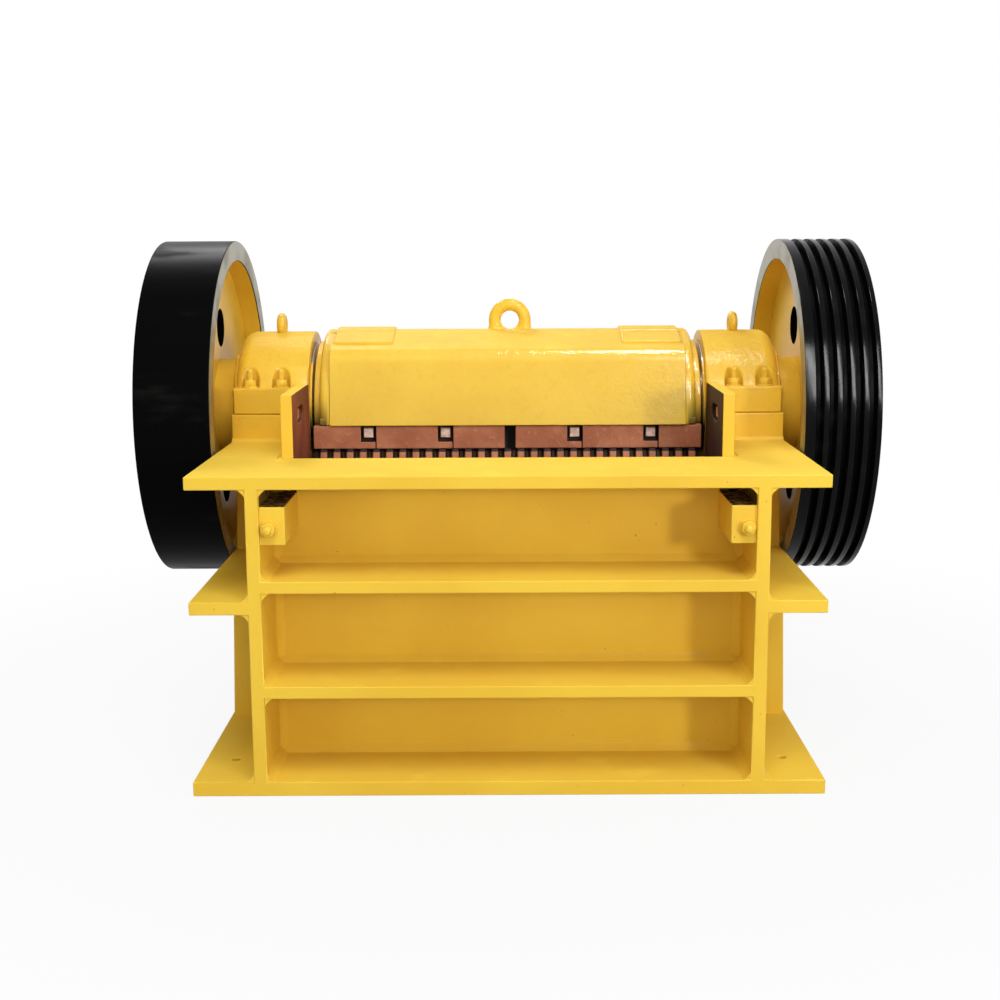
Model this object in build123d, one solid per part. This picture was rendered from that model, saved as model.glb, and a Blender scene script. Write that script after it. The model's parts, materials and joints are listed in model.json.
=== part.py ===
from build123d import *
import math
import os

# A wide jaw crusher: a welded plate frame, a swing jaw that hangs on an eccentric shaft,
# a flywheel on the left end of the shaft and a grooved belt pulley on the right end.
# All sizes are in millimetres. While the pieces are made, x is measured from the middle of
# the machine, y back from the front plane of the frame, and z up from the floor.

# Frame plates
frame_top = 868.0             # top of the side plates and of the top flange
rear_top = 590.0              # top of the low rear end
rear_flange_length = 76.0     # top flange behind the bearing seat
slope_run = 170.0             # length of the slope from the top down to the rear end
side_thickness = 36.0
flange_thickness = 35.0
rib_thickness = 33.0
base_thickness = 40.0
gusset_thickness = 28.0
flange_reach = 156.0          # flanges stand out this far from the side plates
base_reach = 164.5            # and the base plate this far
gusset_taper = 13.0           # a gusset is this much narrower at its top
mid_flange_bottom = 500.0
front_recess = 250.0          # front plane to the face of the front wall
front_wall_thickness = 81.0
front_lower_rib_top = 304.0
front_upper_rib_top = 590.0
rear_recess = 130.0           # rear plane to the back of the rear wall
rear_wall_thickness = 40.0
rear_lower_rib_top = 304.0
rear_base_width = 260.0
front_gusset_inset = 560.0    # front plane to the front lower gussets
rear_gusset_inset = 242.0     # rear plane to the rear lower gussets
upper_gusset_inset = 4.0      # upper gussets stand this far inside the bearing seat's ends
weld_gap = 0.4                # between plates that a weld joins at a curved edge

# Base bolt holes
base_hole_radius = 12.0
base_hole_x = 763.0
base_hole_inset = 179.0       # from the front plane, and from the rear plane

# Bolt blocks in the front corners
bolt_block_width = 66.0
bolt_block_height = 101.0
bolt_block_bottom = 685.0
bolt_block_inset = 12.0       # behind the front plane

# Chamber
chamber_width = 1202.0
feed_gap = 270.0              # between the jaw plates at the top
discharge_gap = 36.6          # and at the bottom
cheek_thickness = 46.0
cheek_gap = 0.5               # cheek plate to side plate
cheek_head_thickness = 34.0   # above the frame, where no side plate backs it
cheek_rise = 177.0            # top of the frame to the cheek plate's top
cheek_bottom = 60.0
cheek_overlap = 4.0           # the cheek plate's head ends this far behind the clamp bars' front
cheek_knee = 850.0            # height where its rear edge starts to slope
cheek_foot_length = 190.0     # length of the cheek plate at its bottom
cheek_pockets = ((159.0, 975.0), (139.0, 600.0), (114.0, 250.0))  # behind its front edge, and height
cheek_pocket_length = 120.0
cheek_pocket_height = 46.0
cheek_pocket_depth = 22.0

# Jaw plates
fixed_plate_thickness = 75.0
fixed_plate_bottom = 70.0
fixed_plate_drop = 33.0       # top of the frame down to the plate's top
fixed_plate_side_gap = 3.0
ledge_setback = 12.0          # the ledge under the fixed plate ends this far behind the teeth
moving_plate_thickness = 66.0
moving_plate_length = 785.0
moving_plate_drop = 23.0      # top of the frame down to the plate's top
moving_side_gap = 11.0        # moving plate and clamp bars to the cheek plates
tooth_pitch = 40.0
tooth_height = 24.0
tooth_crest = 20.0
tooth_root_gap = 10.0

# Shaft, eccentric and bearings
shaft_rise = 82.0             # top of the frame to the shaft's axis
eccentricity = 12.0
eccentric_radius = 150.0      # bore of the swing jaw
journal_radius = 130.0
hub_seat_radius = 110.0
running_clearance = 0.08
hub_clearance = 0.05
housing_radius = 237.0
housing_inset = 41.0          # housing stands this far inside the side plate
housing_setback = 8.0         # housing ends this far inside the flange edge
housing_round = 42.0          # rounded shoulder at the housing's outer end
edge_round = 3.0
seat_margin = 6.0             # seat is this much longer than the housing at each end
cap_ledge_height = 80.0
nut_pocket_x = (689.0, 783.0)
nut_pocket_inset = 26.0       # seat's end to the centre of a nut pocket
nut_pocket_radius = 27.0
parting_gap = 0.5
ring_radius = 205.0
ring_thickness = 7.0
cover_radius = 190.0
cover_thickness = 8.0
seal_clearance = 2.0

# Lifting eyes on the bearing caps
cap_eye_x = 713.0
cap_eye_thickness = 30.0
cap_eye_radius = 32.0
cap_eye_hole_radius = 15.0
cap_eye_rise = 26.0           # centre of the eye above the top of the cap

# Swing jaw
barrel_radius = 255.0
barrel_round = 18.0           # rounded ends of the barrel
jaw_end_gap = 8.5             # jaw cover to the bearing ring
band_rise = 8.0
band_inset = 38.0             # end of the barrel to the raised band
band_width = 181.0
head_inset = 30.0             # end of the barrel to the flat front of the head
head_lead = 8.0               # the flat front stands this far before the clamp bars
head_lean = 10.0              # and leans back this much
crease_drop = 52.0            # top of the barrel to the crease above the flat front
crease_round = 60.0
jaw_cover_radius = 218.0
jaw_cover_thickness = 20.0
slab_thickness = 95.0
slab_foot = 77.0
heel_half_height = 70.0
heel_depth = 80.0
jaw_rib_thickness = 45.0
jaw_rib_count = 5
jaw_rib_angle = 35.0          # where the ribs leave the barrel, below its axis
jaw_eye_hole_radius = 28.5
jaw_eye_bar_radius = 19.0
jaw_eye_sides = 8
jaw_eye_rise = 28.0           # centre of the eye above the barrel
jaw_eye_x = 8.0               # the eye stands this far to the right of the middle

# Clamp bars above the moving plate
bar_height = 70.0
bar_gap = 1.0                 # bar to plate, and bar to the jaw above it
bar_middle_gap = 30.0
bar_middle_x = 8.0            # the gap lies this far to the right of the middle
bar_split_gap = 1.5
left_bar_bolts = (422.0, 188.0)   # distance of the bolts from the middle
right_bar_bolts = (205.0, 436.0)
bolt_notch_width = 44.0
bolt_notch_height = 48.0
bolt_notch_depth = 30.0

# Wheels
wheel_radius = 520.0
wheel_width = 220.0
wheel_gap = 9.0               # flange edge to wheel
rim_thickness = 61.0
web_recess = 60.0             # inner face of the rim to the web
web_thickness = 70.0
hub_radius = 150.0
hub_length = 190.0
web_hole_radius = 59.0
web_hole_circle = 250.0
web_hole_count = 4
groove_count = 5
groove_pitch = 38.0
groove_mouth = 22.0
groove_root = 10.0
groove_depth = 22.0
first_land = 31.0

# Toggle and tension rods behind the jaw
toggle_front_z = 272.0
toggle_rear_z = 300.0
toggle_radius = 24.0
toggle_half_width = 500.0
toggle_seat_gap = 0.3
toggle_free_gap = 6.0         # left at the jaw end over the whole turn of the shaft
toggle_seat_depth = 65.0
toggle_seat_half_height = 80.0
toggle_seat_margin = 40.0
rod_x = 330.0
rod_z = 150.0
rod_radius = 18.0
rod_jaw_gap = 30.0            # jaw to the rod's front eye
rod_reach = 210.0             # rod end behind the rear wall
rod_hole_gap = 0.5
rod_eye_radius = 32.0
rod_eye_hole_radius = 14.0
rod_eye_thickness = 30.0
spring_length = 130.0
spring_radius = 46.0
spring_bore = 26.0
rod_washer_radius = 52.0
rod_washer_thickness = 12.0
rod_nut_across = 60.0
rod_nut_height = 30.0

# Worked out from the sizes above
cheek_inner = chamber_width / 2
side_inner = cheek_inner + cheek_thickness + cheek_gap
side_outer = side_inner + side_thickness
half_width = side_outer + flange_reach
base_half_width = side_outer + base_reach
front_wall_back = front_recess + front_wall_thickness
jaw_face = front_wall_back + fixed_plate_thickness + feed_gap
cheek_head_end = jaw_face + cheek_overlap
cheek_top = frame_top + cheek_rise
fixed_plate_top = frame_top - fixed_plate_drop
moving_plate_top = frame_top - moving_plate_drop
shaft_y = jaw_face + barrel_radius
shaft_z = frame_top + shaft_rise
shaft_axis = (shaft_y, shaft_z)
jaw_axis = (shaft_y, shaft_z - eccentricity)
seat_front = shaft_y - housing_radius - seat_margin
seat_rear = shaft_y + housing_radius + seat_margin
slope_start = seat_rear + rear_flange_length
frame_length = slope_start + slope_run
rear_wall_back = frame_length - rear_recess
rear_wall_front = rear_wall_back - rear_wall_thickness
mid_flange_top = mid_flange_bottom + flange_thickness
flange_bottom = frame_top - flange_thickness
housing_inner = side_inner - housing_inset
housing_outer = half_width - housing_setback
barrel_half_length = housing_inner - ring_thickness - jaw_end_gap - jaw_cover_thickness
moving_half_width = cheek_inner - moving_side_gap
wheel_inner = half_width + wheel_gap
overall_length = rear_wall_back + rod_reach
lean = math.asin((feed_gap - discharge_gap) / moving_plate_length)
down_slope = (-math.sin(lean), -math.cos(lean))
seat_top = (jaw_face + moving_plate_thickness * math.cos(lean),
            moving_plate_top - moving_plate_thickness * math.sin(lean))
slab_run = slab_thickness / math.cos(lean)
heel_z = toggle_front_z - eccentricity
brow = moving_plate_top + bar_height + bar_gap


# Helpers that make a solid from spans along x, y and z, or from an outline

def block(x_span, y_span, z_span):
    spans = (x_span, y_span, z_span)
    middle = [(low + high) / 2 for low, high in spans]
    size = [high - low for low, high in spans]
    return Pos(*middle) * Box(*size)


def from_side(points, x_span):
    outline = make_face(Polyline(*points, close=True))
    return extrude(Plane.YZ.offset(x_span[0]) * outline, amount=x_span[1] - x_span[0])


def from_front(points, y_span):
    outline = make_face(Polyline(*points, close=True))
    return extrude(Plane.XZ.offset(-y_span[0]) * outline, amount=y_span[0] - y_span[1])


def disc(radius, x_span, centre):
    outline = Plane.YZ.offset(x_span[0]) * Pos(*centre) * Circle(radius)
    return extrude(outline, amount=x_span[1] - x_span[0])


def drum(radius, x_span, low_round, high_round, centre):
    x_low, x_high = x_span
    outline = Polyline((x_low, radius - low_round), (x_low, 0), (x_high, 0), (x_high, radius - high_round))
    outline += CenterArc((x_high - high_round, radius - high_round), high_round, 0, 90)
    outline += Line((x_high - high_round, radius), (x_low + low_round, radius))
    outline += CenterArc((x_low + low_round, radius - low_round), low_round, 90, 90)
    return Pos(0, *centre) * revolve(make_face(outline), axis=Axis.X)


def rod(radius, y_span, centre):
    outline = Plane.XZ.offset(-y_span[0]) * Pos(*centre) * Circle(radius)
    return extrude(outline, amount=y_span[0] - y_span[1])


def both_ways(half):
    return (-half, half)


nodes = {}


def add_pair(name, right_piece):
    nodes["right_" + name] = right_piece
    nodes["left_" + name] = mirror(right_piece, about=Plane.YZ)


# Welded frame

def side_plate():
    outline = [(0, base_thickness), (frame_length, base_thickness), (frame_length, rear_top),
               (slope_start, frame_top), (0, frame_top)]
    plate = from_side(outline, (side_inner, side_outer))
    plate -= block((side_inner, side_outer), (seat_front - weld_gap, seat_rear + weld_gap),
                   (flange_bottom - weld_gap, frame_top))
    return plate - disc(housing_radius + weld_gap, (side_inner, side_outer), shaft_axis)


def top_flange():
    x_span = (side_outer, half_width)
    z_span = (flange_bottom, frame_top)
    front_part = block(x_span, (0, seat_front - weld_gap), z_span)
    rear_part = block(x_span, (seat_rear + weld_gap, slope_start), z_span)
    return Compound([*front_part.solids(), *rear_part.solids()])


def gusset(y_front, z_low, z_high):
    outline = [(side_outer, z_low), (half_width, z_low),
               (half_width - gusset_taper, z_high), (side_outer, z_high)]
    return from_front(outline, (y_front, y_front + gusset_thickness))


def gussets():
    upper_fronts = (seat_front + upper_gusset_inset, seat_rear - upper_gusset_inset - gusset_thickness)
    lower_fronts = (front_gusset_inset, frame_length - rear_gusset_inset - gusset_thickness)
    solids = []
    for y_front in upper_fronts:
        solids += gusset(y_front, mid_flange_top, flange_bottom).solids()
    for y_front in lower_fronts:
        solids += gusset(y_front, base_thickness, mid_flange_bottom).solids()
    return Compound(solids)


def base_strip(y_span, hole_y):
    strip = block(both_ways(base_half_width), y_span, (0, base_thickness))
    for x in both_ways(base_hole_x):
        strip -= Pos(x, hole_y, base_thickness / 2) * Cylinder(base_hole_radius, base_thickness)
    return strip


def front_wall():
    wall = block(both_ways(side_inner), (front_recess, front_wall_back), (base_thickness, flange_bottom))
    ledge_end = front_wall_back + fixed_plate_thickness - tooth_height - ledge_setback
    ledge = block(both_ways(cheek_inner - fixed_plate_side_gap), (front_wall_back, ledge_end),
                  (base_thickness, fixed_plate_bottom))
    return wall + ledge


def rear_wall():
    wall = block(both_ways(side_inner), (rear_wall_front, rear_wall_back),
                 (base_thickness, rear_top - rib_thickness))
    for x in both_ways(rod_x):
        wall -= rod(rod_radius + rod_hole_gap, (rear_wall_front, rear_wall_back), (x, rod_z))
    return wall


def rib(y_span, top):
    return block(both_ways(side_inner), y_span, (top - rib_thickness, top))


def bolt_block():
    return block((side_inner - bolt_block_width, side_inner), (bolt_block_inset, front_recess),
                 (bolt_block_bottom, bolt_block_bottom + bolt_block_height))


def cheek_plate():
    outline = [(front_wall_back, cheek_bottom), (front_wall_back, cheek_top),
               (cheek_head_end, cheek_top), (cheek_head_end, cheek_knee),
               (front_wall_back + cheek_foot_length, cheek_bottom)]
    cheek_outer = cheek_inner + cheek_thickness
    plate = from_side(outline, (cheek_inner, cheek_outer))
    plate -= block((cheek_inner + cheek_head_thickness, cheek_outer),
                   (front_wall_back, cheek_head_end), (frame_top, cheek_top))
    for setback, z in cheek_pockets:
        slot = Pos(front_wall_back + setback, z) * SlotOverall(cheek_pocket_length, cheek_pocket_height)
        plate -= extrude(Plane.YZ.offset(cheek_inner) * slot, amount=cheek_pocket_depth)
    return plate


rear_base_front = frame_length - rear_base_width
base_x = (side_inner, base_half_width)
add_pair("side_plate", side_plate())
add_pair("top_flange", top_flange())
add_pair("mid_flange", block((side_outer, half_width), (0, frame_length),
                             (mid_flange_bottom, mid_flange_top)))
add_pair("gussets", gussets())
add_pair("base_plate", block(base_x, (front_wall_back, rear_base_front), (0, base_thickness)))
nodes["front_base_plate"] = base_strip((0, front_wall_back), base_hole_inset)
nodes["rear_base_plate"] = base_strip((rear_base_front, frame_length), frame_length - base_hole_inset)
nodes["front_wall"] = front_wall()
nodes["front_top_flange"] = block(both_ways(side_inner), (0, front_wall_back), (flange_bottom, frame_top))
nodes["front_upper_rib"] = rib((0, front_recess), front_upper_rib_top)
nodes["front_lower_rib"] = rib((0, front_recess), front_lower_rib_top)
nodes["rear_wall"] = rear_wall()
nodes["rear_top_rib"] = rib((rear_wall_front, frame_length), rear_top)
nodes["rear_lower_rib"] = rib((rear_wall_back, frame_length), rear_lower_rib_top)
add_pair("bolt_block", bolt_block())
add_pair("cheek_plate", cheek_plate())


# Toothed jaw plates: one cross section with its back at y = 0, drawn along the plate's length

def toothed_section(half_length, thickness):
    tooth_count = int(2 * half_length // tooth_pitch)
    root_y = thickness - tooth_height
    flank = (tooth_pitch - tooth_crest - tooth_root_gap) / 2
    x = -tooth_count * tooth_pitch / 2 + tooth_root_gap / 2
    points = [(-half_length, 0), (-half_length, root_y)]
    for tooth in range(tooth_count):
        points.append((x, root_y))
        points.append((x + flank, thickness))
        points.append((x + flank + tooth_crest, thickness))
        points.append((x + 2 * flank + tooth_crest, root_y))
        x += tooth_pitch
    points += [(half_length, root_y), (half_length, 0)]
    return make_face(Polyline(*points, close=True))


def fixed_jaw_plate():
    section = toothed_section(cheek_inner - fixed_plate_side_gap, fixed_plate_thickness)
    foot = Plane((0, front_wall_back, fixed_plate_bottom), x_dir=(1, 0, 0), z_dir=(0, 0, 1))
    return extrude(foot * section, amount=fixed_plate_top - fixed_plate_bottom)


def moving_jaw_plate():
    section = toothed_section(moving_half_width, moving_plate_thickness)
    head = Plane((0, *seat_top), x_dir=(1, 0, 0), z_dir=(0, *down_slope))
    return extrude(head * section, amount=moving_plate_length)


nodes["fixed_jaw_plate"] = fixed_jaw_plate()
nodes["moving_jaw_plate"] = moving_jaw_plate()


# Main bearings

def bearing_bore(x_span):
    return disc(journal_radius + running_clearance, x_span, shaft_axis)


def housing():
    return drum(housing_radius, (housing_inner, housing_outer), edge_round, housing_round, shaft_axis)


def bearing_seat():
    x_span = (housing_inner, half_width)
    seat = block(x_span, (seat_front, seat_rear), (flange_bottom, shaft_z))
    belly = housing()
    belly -= block(x_span, (seat_front, seat_rear), (shaft_z, shaft_z + housing_radius))
    cover_room = disc(cover_radius + weld_gap, (housing_outer, half_width), shaft_axis)
    return seat + belly - cover_room - bearing_bore(x_span)


def bearing_cap():
    x_span = (housing_inner, housing_outer)
    split = shaft_z + parting_gap
    ledge_top = shaft_z + cap_ledge_height
    cap = housing() + block(x_span, (seat_front, seat_rear), (split, ledge_top))
    cap -= block(x_span, (seat_front, seat_rear), (shaft_z - housing_radius, split))
    for x in nut_pocket_x:
        for y in (seat_front + nut_pocket_inset, seat_rear - nut_pocket_inset):
            pocket = Pos(x, y, ledge_top) * Circle(nut_pocket_radius)
            cap -= extrude(pocket, amount=housing_radius)
    return cap - bearing_bore(x_span)


def bearing_covers():
    inner_span = (housing_inner - ring_thickness, housing_inner)
    outer_span = (housing_outer, housing_outer + cover_thickness)
    inner_ring = disc(ring_radius, inner_span, shaft_axis)
    inner_ring -= disc(journal_radius + seal_clearance, inner_span, shaft_axis)
    outer_cover = disc(cover_radius, outer_span, shaft_axis)
    outer_cover -= disc(journal_radius + seal_clearance, outer_span, shaft_axis)
    return Compound([*inner_ring.solids(), *outer_cover.solids()])


def cap_eye():
    x_span = (cap_eye_x - cap_eye_thickness / 2, cap_eye_x + cap_eye_thickness / 2)
    centre = (shaft_y, shaft_z + housing_radius + cap_eye_rise)
    eye = disc(cap_eye_radius, x_span, centre)
    eye += block(x_span, (shaft_y - cap_eye_radius, shaft_y + cap_eye_radius),
                 (shaft_z + housing_radius - cap_eye_rise, centre[1]))
    eye -= disc(cap_eye_hole_radius, x_span, centre)
    return eye - disc(housing_radius + weld_gap, x_span, shaft_axis)


add_pair("bearing_seat", bearing_seat())
add_pair("bearing_cap", bearing_cap())
add_pair("bearing_covers", bearing_covers())
right_cap_eye = cap_eye()
left_cap_eye = mirror(right_cap_eye, about=Plane.YZ)
nodes["cap_lifting_eyes"] = Compound([*right_cap_eye.solids(), *left_cap_eye.solids()])


# Eccentric shaft, flywheel and belt pulley

def eccentric_shaft():
    shaft_end = wheel_inner + hub_length
    shaft = disc(eccentric_radius - running_clearance, both_ways(barrel_half_length), jaw_axis)
    shaft += disc(hub_seat_radius - hub_clearance, both_ways(shaft_end), shaft_axis)
    return shaft + disc(journal_radius, both_ways(wheel_inner), shaft_axis)


def grooved_edge():
    points = []
    x = first_land
    flank = (groove_mouth - groove_root) / 2
    for groove in range(groove_count):
        points.append((x, wheel_radius))
        points.append((x + flank, wheel_radius - groove_depth))
        points.append((x + flank + groove_root, wheel_radius - groove_depth))
        points.append((x + groove_mouth, wheel_radius))
        x += groove_pitch
    return points


def wheel(edge_points):
    rim_bore = wheel_radius - rim_thickness
    web_outer = web_recess + web_thickness
    points = [(0, rim_bore), (0, wheel_radius), *edge_points, (wheel_width, wheel_radius),
              (wheel_width, rim_bore), (web_outer, rim_bore), (web_outer, hub_radius),
              (hub_length, hub_radius), (hub_length, hub_seat_radius), (0, hub_seat_radius),
              (0, hub_radius), (web_recess, hub_radius), (web_recess, rim_bore)]
    section = make_face(Polyline(*points, close=True))
    body = revolve(Plane.XY * section, axis=Axis.X)
    for hole in range(web_hole_count):
        turn = Rot(360 * hole / web_hole_count, 0, 0)
        bar = Plane.YZ.offset(web_recess) * Pos(0, web_hole_circle) * Circle(web_hole_radius)
        body -= turn * extrude(bar, amount=web_thickness)
    return Pos(wheel_inner, shaft_y, shaft_z) * body


nodes["eccentric_shaft"] = eccentric_shaft()
nodes["flywheel"] = mirror(wheel([]), about=Plane.YZ)
nodes["belt_pulley"] = wheel(grooved_edge())


# Swing jaw

def slab_seat_y(z):
    return seat_top[0] - (seat_top[1] - z) * math.tan(lean)


def plate_room(x_span):
    outline = [(0, brow), (seat_top[0], brow), seat_top, (slab_seat_y(0), 0), (0, 0)]
    return from_side(outline, x_span)


def head_corners():
    crease_z = jaw_axis[1] + barrel_radius - crease_drop
    front = jaw_face - head_lead
    crease = (front + (crease_z - brow) * math.tan(math.radians(head_lean)), crease_z)
    ahead = jaw_axis[0] - crease[0]
    above = crease_z - jaw_axis[1]
    turn = math.atan2(above, ahead) + math.acos(barrel_radius / math.hypot(ahead, above))
    crown = (jaw_axis[0] - barrel_radius * math.cos(turn), jaw_axis[1] + barrel_radius * math.sin(turn))
    lift = (-band_rise * math.cos(turn), band_rise * math.sin(turn))
    return front, crease, crown, lift


def jaw_head():
    front, crease, crown, lift = head_corners()
    outline = make_face(Polyline((front, brow), crease, crown, jaw_axis, (seat_top[0], brow), close=True))
    corner = outline.vertices().sort_by_distance((*crease, 0))[0]
    head = barrel_half_length - head_inset
    return extrude(Plane.YZ.offset(-head) * fillet(corner, crease_round), amount=2 * head)


def raised_band(x_span):
    front, crease, crown, lift = head_corners()
    band = disc(barrel_radius + band_rise, x_span, jaw_axis)
    across = shaft_y + barrel_radius + band_rise
    band -= block(x_span, (jaw_face - band_rise, across), (jaw_axis[1] - barrel_radius - band_rise, crease[1]))
    band -= block(x_span, (jaw_face - band_rise, crown[0]), (crease[1], jaw_axis[1] + barrel_radius + band_rise))
    share = crease_round / math.dist(crease, crown)
    start = [crease[axis] + (crown[axis] - crease[axis]) * share for axis in (0, 1)]
    pad = [(start[0] + lift[0], start[1] + lift[1]), (crown[0] + lift[0], crown[1] + lift[1]),
           (crown[0] - lift[0], crown[1] - lift[1]), (start[0] - lift[0], start[1] - lift[1])]
    return band + from_side(pad, x_span)


def swing_jaw():
    heel_rear = slab_seat_y(heel_z) + slab_run + heel_depth
    heel_low = heel_z - heel_half_height
    heel_high = heel_z + heel_half_height
    jaw_span = both_ways(barrel_half_length)
    slab_outline = [(jaw_face, brow), (seat_top[0], brow), seat_top,
                    (slab_seat_y(slab_foot), slab_foot), (slab_seat_y(slab_foot) + slab_run, slab_foot),
                    (seat_top[0] + slab_run, seat_top[1]), jaw_axis, (jaw_face, jaw_axis[1])]
    jaw = drum(barrel_radius, jaw_span, barrel_round, barrel_round, jaw_axis)
    jaw += from_side(slab_outline, jaw_span)
    jaw += jaw_head()
    band_outer = barrel_half_length - band_inset
    band_inner = band_outer - band_width
    for x_span in ((-band_outer, -band_inner), (band_inner, band_outer)):
        jaw += raised_band(x_span)
    heel_front = slab_seat_y(heel_low) + slab_run / 2
    jaw += block(jaw_span, (heel_front, heel_rear), (heel_low, heel_high))
    leave = math.radians(jaw_rib_angle)
    rib_end = (jaw_axis[0] + barrel_radius * math.cos(leave), jaw_axis[1] - barrel_radius * math.sin(leave))
    rib_outline = [(heel_front, heel_low), (heel_rear, heel_low), (heel_rear, heel_high), rib_end,
                   jaw_axis, (seat_top[0] + slab_run / 2, seat_top[1])]
    rib_step = (2 * barrel_half_length - jaw_rib_thickness) / (jaw_rib_count - 1)
    for place in range(jaw_rib_count):
        x_low = -barrel_half_length + place * rib_step
        jaw += from_side(rib_outline, (x_low, x_low + jaw_rib_thickness))
    free_radius = toggle_radius + eccentricity + toggle_free_gap
    jaw -= plate_room(jaw_span)
    jaw -= disc(free_radius, jaw_span, (heel_rear, heel_z))
    return jaw - disc(eccentric_radius, jaw_span, jaw_axis), heel_rear


def jaw_cover():
    x_span = (barrel_half_length, barrel_half_length + jaw_cover_thickness)
    cover = disc(jaw_cover_radius, x_span, jaw_axis) - disc(eccentric_radius, x_span, jaw_axis)
    return cover - plate_room(x_span)


def lifting_eye():
    barrel_top = jaw_axis[1] + barrel_radius
    leg_x = jaw_eye_hole_radius + jaw_eye_bar_radius
    leg_low = barrel_top - jaw_eye_rise
    leg_high = barrel_top + jaw_eye_rise
    bend = CenterArc((0, leg_high), leg_x, 0, 180)
    left_leg = Line((-leg_x, leg_high), (-leg_x, leg_low))
    right_leg = Line((leg_x, leg_low), (leg_x, leg_high))
    path = Plane.XZ.offset(-shaft_y) * (right_leg + bend + left_leg)
    bar = RegularPolygon(jaw_eye_bar_radius, jaw_eye_sides, major_radius=False,
                         rotation=180 / jaw_eye_sides)
    section = Plane((leg_x, shaft_y, leg_low), z_dir=(0, 0, 1)) * bar
    eye = sweep(section, path=path)
    eye -= disc(barrel_radius + weld_gap, both_ways(2 * leg_x), jaw_axis)
    return Pos(jaw_eye_x, 0, 0) * eye


def clamp_bar(x_low, x_high, notched):
    plate_top = moving_plate_top + bar_gap
    outline = [(jaw_face, plate_top), (jaw_face, moving_plate_top + bar_height),
               (seat_top[0], moving_plate_top + bar_height), (seat_top[0], seat_top[1] + bar_gap)]
    bar = from_side(outline, (x_low, x_high))
    if notched:
        notch_top = moving_plate_top + bar_height
        bar -= block((x_high - bolt_notch_width, x_high), (jaw_face, jaw_face + bolt_notch_depth),
                     (notch_top - bolt_notch_height, notch_top))
    return bar


def clamp_bars(cuts):
    solids = []
    for place in range(len(cuts) - 1):
        last = place == len(cuts) - 2
        bar = clamp_bar(cuts[place], cuts[place + 1] - bar_split_gap, not last)
        solids += bar.solids()
    return Compound(solids)


jaw_solid, heel_rear = swing_jaw()
nodes["swing_jaw"] = jaw_solid
add_pair("jaw_cover", jaw_cover())
nodes["jaw_lifting_eye"] = lifting_eye()
bolt_edge = bolt_notch_width / 2
left_cuts = [bolt_edge - x for x in left_bar_bolts]
right_cuts = [bolt_edge + x for x in right_bar_bolts]
nodes["left_clamp_bars"] = clamp_bars([-moving_half_width, *left_cuts, bar_middle_x - bar_middle_gap / 2])
nodes["right_clamp_bars"] = clamp_bars([bar_middle_x + bar_middle_gap / 2, *right_cuts, moving_half_width])


# Toggle plate with its seat, and the tension rods

def toggle_plate():
    front = (heel_rear, toggle_front_z)
    rear = (rear_wall_front - toggle_seat_depth, toggle_rear_z)
    length = math.dist(front, rear)
    tilt = math.degrees(math.atan2(rear[1] - front[1], rear[0] - front[0]))
    middle = ((front[0] + rear[0]) / 2, (front[1] + rear[1]) / 2)
    outline = Pos(*middle) * Rot(0, 0, tilt) * SlotCenterToCenter(length, 2 * toggle_radius)
    return extrude(Plane.YZ.offset(-toggle_half_width) * outline, amount=2 * toggle_half_width)


def toggle_seat():
    seat_y = rear_wall_front - toggle_seat_depth
    x_span = both_ways(toggle_half_width + toggle_seat_margin)
    seat = block(x_span, (seat_y, rear_wall_front),
                 (toggle_rear_z - toggle_seat_half_height, toggle_rear_z + toggle_seat_half_height))
    return seat - disc(toggle_radius + toggle_seat_gap, x_span, (seat_y, toggle_rear_z))


def tension_rod(x):
    centre = (x, rod_z)
    rod_front = slab_seat_y(rod_z) + slab_run + rod_jaw_gap + rod_eye_radius
    nut_front = rear_wall_back + spring_length
    nut_outline = Pos(*centre) * RegularPolygon(rod_nut_across / 2, 6, major_radius=False)
    nut = extrude(Plane.XZ.offset(-nut_front - rod_washer_thickness) * nut_outline, amount=-rod_nut_height)
    eye_span = (x - rod_eye_thickness / 2, x + rod_eye_thickness / 2)
    eye = disc(rod_eye_radius, eye_span, (rod_front, rod_z))
    bar = rod(rod_radius, (rod_front, overall_length), centre) + eye
    bar += rod(rod_washer_radius, (nut_front, nut_front + rod_washer_thickness), centre)
    return bar + nut - disc(rod_eye_hole_radius, eye_span, (rod_front, rod_z))


def rod_spring(x):
    y_span = (rear_wall_back, rear_wall_back + spring_length)
    return rod(spring_radius, y_span, (x, rod_z)) - rod(spring_bore, y_span, (x, rod_z))


nodes["toggle_plate"] = toggle_plate()
nodes["toggle_seat"] = toggle_seat()
rods = [solid for x in both_ways(rod_x) for solid in tension_rod(x).solids()]
springs = [solid for x in both_ways(rod_x) for solid in rod_spring(x).solids()]
nodes["tension_rods"] = Compound(rods)
nodes["rod_springs"] = Compound(springs)


# The origin goes to the middle of the footprint, on the floor

os.makedirs("parts", exist_ok=True)
to_middle = Pos(0, -overall_length / 2, 0)
for name, piece in nodes.items():
    export_step(to_middle * piece, os.path.join("parts", name + ".step"))
print(len(nodes), "nodes, overall length", overall_length)
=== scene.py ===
# %% [markdown]
# # Dressing a jaw crusher
# A jaw crusher breaks rock between a fixed and a swinging toothed plate. Its solid model arrives
# as named nodes. The lesson gives them the looks of the real machine: yellow enamel on welded
# plate, black wheel rims, red primer on the wear plates, weld beads, studs and bolts.
# All lengths are in metres.

# %% Load the frame
import json
import math

import bmesh
import bpy
from mathutils import Matrix, Vector, noise


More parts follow.
